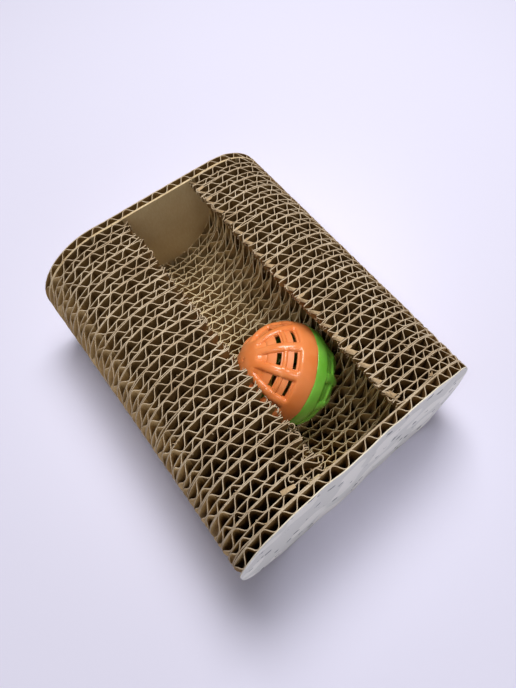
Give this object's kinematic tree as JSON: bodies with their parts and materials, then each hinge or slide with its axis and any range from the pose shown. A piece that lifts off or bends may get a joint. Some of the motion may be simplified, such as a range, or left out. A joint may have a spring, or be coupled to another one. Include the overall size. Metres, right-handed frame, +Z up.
{
  "type": "cardboard cat scratcher",
  "caption": "Pill-shaped block of upright corrugated boards with a slotted round channel along its top, in which an orange and green lattice bell ball rolls for a cat to bat.",
  "frame": {"origin": "middle of the underside", "axes": "+Z up, +Y along the channel from the printed near end to the plain far end, +X across the boards"},
  "size_m": [0.115, 0.1408, 0.063],
  "materials": {
    "kraft_paper": "uncoated brown kraft paper, die-cut edges",
    "white_printed_paper": "white-topped liner, matt, pale grey print",
    "orange_plastic": "glossy moulded polypropylene",
    "green_plastic": "glossy moulded polypropylene",
    "brass": "stamped and plated",
    "steel": "plain steel ball"
  },
  "bodies": {
    "block": {"sheet_01_liner": "kraft_paper", "sheet_02_liner": "kraft_paper", "sheet_03_liner": "kraft_paper", "sheet_04_liner": "kraft_paper", "sheet_05_liner": "kraft_paper", "sheet_06_liner": "kraft_paper", "sheet_07_liner": "kraft_paper", "sheet_08_liner": "kraft_paper", "sheet_09_liner": "kraft_paper", "sheet_10_liner": "kraft_paper", "sheet_11_liner": "kraft_paper", "sheet_12_liner": "kraft_paper", "sheet_13_liner": "kraft_paper", "sheet_14_liner": "kraft_paper", "sheet_15_liner": "kraft_paper", "sheet_16_liner": "kraft_paper", "sheet_17_liner": "kraft_paper", "sheet_18_liner": "kraft_paper", "sheet_19_liner": "kraft_paper", "sheet_01_fluted_web": "kraft_paper", "sheet_02_fluted_web": "kraft_paper", "sheet_03_fluted_web": "kraft_paper", "sheet_04_fluted_web": "kraft_paper", "sheet_05_fluted_web": "kraft_paper", "sheet_06_fluted_web": "kraft_paper", "sheet_07_fluted_web": "kraft_paper", "sheet_08_fluted_web": "kraft_paper", "sheet_09_fluted_web": "kraft_paper", "sheet_10_fluted_web": "kraft_paper", "sheet_11_fluted_web": "kraft_paper", "sheet_12_fluted_web": "kraft_paper", "sheet_13_fluted_web": "kraft_paper", "sheet_14_fluted_web": "kraft_paper", "sheet_15_fluted_web": "kraft_paper", "sheet_16_fluted_web": "kraft_paper", "sheet_17_fluted_web": "kraft_paper", "sheet_18_fluted_web": "kraft_paper", "sheet_19_fluted_web": "kraft_paper", "near_cap_white_liner": "white_printed_paper", "near_cap_fluted_web": "kraft_paper", "far_cap_kraft_liner": "kraft_paper", "far_cap_fluted_web": "kraft_paper"},
    "bell": {"bell_upper_cup": "brass", "bell_lower_cup": "brass", "bell_loop": "brass", "bell_pellet": "steel"},
    "ball": {"ball_orange_half": "orange_plastic", "ball_green_half": "green_plastic"}
  },
  "joints": [
    {"name": "ball_travel", "type": "slide", "parent": "block", "child": "bell", "axis": [0, 1, 0], "range_m": [-0.022, 0.0684]},
    {"name": "ball_roll", "type": "hinge", "parent": "bell", "child": "ball", "pos_m": [0, -0.0232, 0.0368], "axis": [-1, 0, 0], "range_deg": [-61, 187.5]}
  ],
  "couplings": [
    {"joint": "ball_roll", "follows": "ball_travel", "rad_per_m": 47.619}
  ]
}
